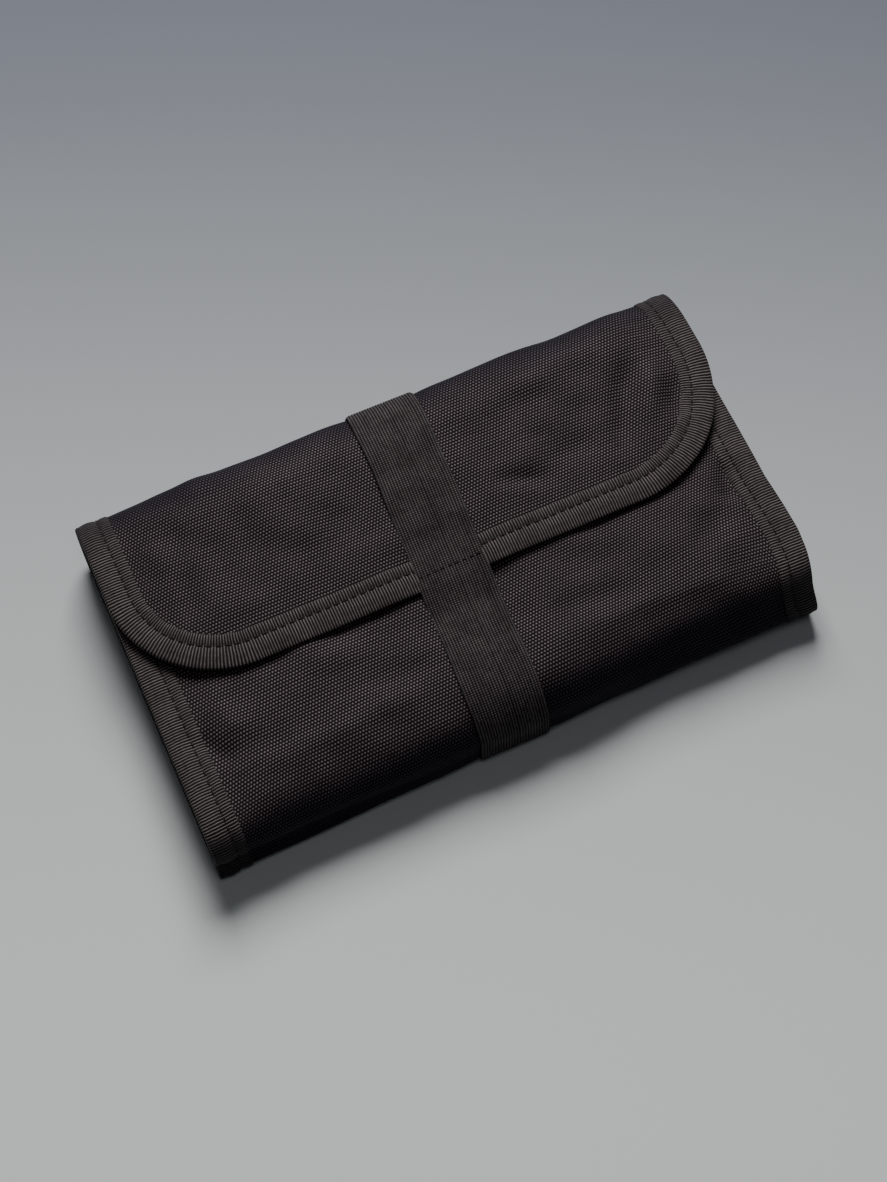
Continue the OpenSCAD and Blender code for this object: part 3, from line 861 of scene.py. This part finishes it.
interior = {}
back_lining_z = BASE + PAD + 0.05
front_lining_z = mm("front_lining")[0][2]
for panel, z, facing, low, count in (
        ("back", back_lining_z, 1, mm("back_sleeve_hem")[0][1] + 0.9, 6),
        ("front", front_lining_z, -1, mm("front_sleeve_hem")[0][1] + 0.9, 5)):
    interior[panel, "sleeves"] = inside_strip(
        panel + "_brush_sleeves", z, facing, low, count, SLEEVE_X0, SLEEVE_X1 - 1.0, 6.4, 0.7, SLEEVE, 90,
        closed_end, seed=5 if panel == "back" else 6)
    interior[panel, "hem"] = inside_strip(
        panel + "_hem_tape", z, facing, low, count, SLEEVE_X1 - 9.0, SLEEVE_X1, 6.5, 0.8, HEM, 10,
        open_all, lift=0.35, lane_noise=0.0)
    interior[panel, "loops"] = inside_strip(
        panel + "_ferrule_loops", z, facing, low, count, LOOP_X0, LOOP_X1, 4.9, 0.8, ELASTIC, 14,
        open_all, lane_noise=0.0)


# ---------------------------------------------------------------- bodies, baked pieces and hidden CAD nodes
NODES = {
    "flap": (["flap_shell", "flap_pad"], ["flap_lining"]),
    "back_far": (["back_shell", "back_pad", "far_spine_shell", "far_spine_pad"],
                 ["back_lining", "far_spine_lining"]),
    "back_near": (["near_spine_shell", "near_spine_pad"], ["near_spine_lining"]),
    "front": (["front_shell", "front_pad"], ["front_lining"]),
}
for key in PANELS:
    outer_nodes, lining_nodes = NODES[key]
    settle(sheets[key], fold=key, nodes=outer_nodes)
    settle(linings[key], fold=key, nodes=lining_nodes)
settle(tapes["flap"], fold="flap", nodes=["flap_binding"])
settle(tapes["front"], fold="front", nodes=["front_binding"])
for word in ("left", "right"):
    settle(tapes["back_far", word], fold="back_far",
           nodes=["back_binding_" + word, "far_spine_binding_" + word])
    settle(tapes["back_near", word], fold="back_near", nodes=["near_spine_binding_" + word])
    for key in ("back_far", "back_near"):
        settle(seams[key, word], fold=key)
settle(seams["flap"], fold="flap")
settle(seams["front"], fold="front")
for panel in ("back", "front"):
    for part, node in (("sleeves", "sleeve_strip"), ("hem", "sleeve_hem"), ("loops", "elastic_loops")):
        settle(interior[panel, part], body=panel + "_panel", nodes=[f"{panel}_{node}"])
# the tapes and seams are the hem of the cloth that they bind
settle(band, body="flap", nodes=["elastic_band"])
settle(cross_row, body="flap", nodes=["band_stitching"])
for obj in (band, cross_row):
    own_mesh(obj)

# ---------------------------------------------------------------- floor and light
def floor_material():
    m, nodes, links = new_material("floor_paper")
    shader = nodes.new("ShaderNodeBsdfPrincipled")
    place = nodes.new("ShaderNodeTexCoord")
    turn = nodes.new("ShaderNodeMapping")
    turn.inputs["Rotation"].default_value = (0, 0, yaw)
    links.new(place.outputs["Object"], turn.inputs["Vector"])
    split = nodes.new("ShaderNodeSeparateXYZ")
    links.new(turn.outputs[0], split.inputs[0])
    # painted shade: the floor paper darkens and cools towards the back, standing in for the light's falloff
    ramp = nodes.new("ShaderNodeMapRange")
    ramp.interpolation_type = "SMOOTHSTEP"
    ramp.inputs["From Min"].default_value, ramp.inputs["From Max"].default_value = -0.28, 0.30
    links.new(split.outputs["Y"], ramp.inputs["Value"])
    painted_falloff = nodes.new("ShaderNodeMix")
    painted_falloff.data_type = "RGBA"
    painted_falloff.inputs[6].default_value = (0.90, 0.945, 0.935, 1)
    painted_falloff.inputs[7].default_value = (0.13, 0.142, 0.180, 1)
    links.new(ramp.outputs[0], painted_falloff.inputs[0])
    links.new(painted_falloff.outputs[2], shader.inputs["Base Color"])
    shader.inputs["Roughness"].default_value = 0.85
    out = nodes.new("ShaderNodeOutputMaterial")
    links.new(shader.outputs[0], out.inputs[0])
    return m


FLOOR_REACH, FLOOR_Z = 3000, -0.05
floor_corners = [[x * FLOOR_REACH, y * FLOOR_REACH, FLOOR_Z] for x, y in ((-1, -1), (1, -1), (1, 1), (-1, 1))]
floor = link("floor", floor_corners, [[0, 1, 2, 3]], material=floor_material())

world = bpy.data.worlds.new("world")
scene.world = world
world.use_nodes = True
world.node_tree.nodes["Background"].inputs[0].default_value = (0.84, 0.90, 1.0, 1)
world.node_tree.nodes["Background"].inputs[1].default_value = 0.015


def area_light(name, place, target, size, power, color):
    data = bpy.data.lights.new(name, "AREA")
    data.shape, data.size, data.size_y = "RECTANGLE", size[0], size[1]
    data.energy, data.color = power, color
    obj = bpy.data.objects.new(name, data)
    scene.collection.objects.link(obj)
    obj.location = place
    obj.rotation_mode = "QUATERNION"
    obj.rotation_quaternion = (Vector(target) - Vector(place)).to_track_quat("-Z", "Y")


area_light("key_light", (0.28, 0.96, 0.96), (0, 0, 0), (0.66, 0.66), 23.5, (1.0, 0.99, 0.975))
area_light("top_light", (-0.05, -0.25, 1.27), (0, 0, 0), (0.5, 0.5), 1.2, (0.97, 0.98, 1.0))
